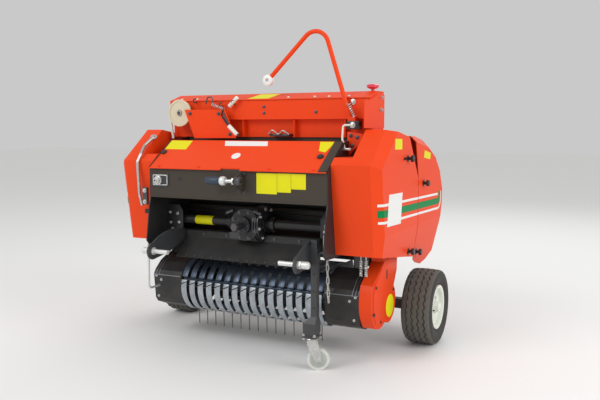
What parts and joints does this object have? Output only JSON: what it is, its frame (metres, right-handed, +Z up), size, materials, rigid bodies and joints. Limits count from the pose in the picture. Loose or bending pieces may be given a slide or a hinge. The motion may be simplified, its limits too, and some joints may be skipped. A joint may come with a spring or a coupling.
{
  "type": "mini round baler",
  "caption": "Tractor-mounted mini round baler: fixed-chamber roller press with tined pickup, hinged tailgate, twine box with guide arm, two tyres and a caster stand.",
  "frame": {"origin": "on the ground under the middle of the machine's outline", "axes": "+X to the machine's left side as driven, which is the viewer's right from the hitch; +Y from the hitch to the tailgate; +Z up"},
  "size_m": [1.6922, 1.29, 1.618],
  "materials": {
    "red_paint": "satin",
    "black_paint": "satin",
    "grey_paint": "satin",
    "galvanised": "satin",
    "steel": "satin",
    "cream_paint": "satin",
    "tyre_rubber": "matt",
    "caster_white": "satin",
    "label_yellow": "satin",
    "label_white": "satin",
    "label_green": "satin",
    "knob_black": "satin",
    "knob_red": "satin"
  },
  "bodies": {
    "frame": {"axle": "black_paint", "cover_front_left": "red_paint", "cover_front_right": "red_paint", "cross_panel": "grey_paint", "drive_tubes": "black_paint", "front_rollers": "black_paint", "gate_hinge_pins": "steel", "gearbox": "black_paint", "hitch_arm_left": "grey_paint", "hitch_arm_right": "grey_paint", "hitch_beam": "black_paint", "hitch_pins": "galvanised", "hood": "red_paint", "intake_sheet": "black_paint", "lift_chains": "galvanised", "pickup_pivots": "steel", "side_plate_left": "black_paint", "side_plate_right": "black_paint", "stand_sleeve": "grey_paint", "top_link_bracket": "grey_paint", "top_link_pin": "galvanised", "twine_arm": "red_paint", "twine_box": "red_paint", "twine_plate": "red_paint", "twine_pulley": "cream_paint", "wind_guard": "black_paint"},
    "lid": {"twine_lid": "red_paint"},
    "gate": {"gate_plate_left": "red_paint", "gate_plate_right": "red_paint", "gate_bars": "red_paint", "gate_rollers": "black_paint", "cover_rear_left": "red_paint", "cover_rear_right": "red_paint"},
    "pickup": {"pickup_side_left": "black_paint", "pickup_side_right": "black_paint", "pickup_bands": "steel", "chain_case": "red_paint"},
    "reel": {"tine_reel": "steel"},
    "wheel_left": {"tyre_left": "tyre_rubber", "rim_left": "cream_paint"},
    "wheel_right": {"tyre_right": "tyre_rubber", "rim_right": "cream_paint"},
    "pto": {"pto_stub": "steel"},
    "stand": {"stand_leg": "grey_paint"},
    "caster_swivel": {"caster_fork": "galvanised"},
    "caster_roller": {"caster_wheel": "caster_white"}
  },
  "joints": [
    {"name": "gate_hinge", "type": "hinge", "parent": "frame", "child": "gate", "pos_m": [0, 0.07, 1.04], "axis": [1, 0, 0], "range_deg": [0, 60]},
    {"name": "pickup_lift", "type": "hinge", "parent": "frame", "child": "pickup", "pos_m": [0, -0.08, 0.55], "axis": [-1, 0, 0], "range_deg": [0, 8], "deforming": ["lift_chains"]},
    {"name": "reel_spin", "type": "hinge", "parent": "pickup", "child": "reel", "pos_m": [0, -0.22, 0.292], "axis": [1, 0, 0], "continuous": true},
    {"name": "wheel_left_spin", "type": "hinge", "parent": "frame", "child": "wheel_left", "pos_m": [-0.7635, 0.2, 0.1975], "axis": [1, 0, 0], "continuous": true},
    {"name": "wheel_right_spin", "type": "hinge", "parent": "frame", "child": "wheel_right", "pos_m": [0.7635, 0.2, 0.1975], "axis": [1, 0, 0], "continuous": true},
    {"name": "pto_spin", "type": "hinge", "parent": "frame", "child": "pto", "pos_m": [0, -0.45, 0.655], "axis": [0, 1, 0], "continuous": true},
    {"name": "lid_hinge", "type": "hinge", "parent": "frame", "child": "lid", "pos_m": [0, 0, 1.318], "axis": [-1, 0, 0], "range_deg": [0, 75]},
    {"name": "stand_slide", "type": "slide", "parent": "frame", "child": "stand", "axis": [0, 0, 1], "range_m": [0, 0.15]},
    {"name": "caster_swivel_turn", "type": "hinge", "parent": "stand", "child": "caster_swivel", "pos_m": [0.411, -0.465, 0.15], "axis": [0, 0, 1], "continuous": true},
    {"name": "caster_spin", "type": "hinge", "parent": "caster_swivel", "child": "caster_roller", "pos_m": [0.43787, -0.45166, 0.053], "axis": [0.4446, -0.8957, 0], "continuous": true}
  ]
}
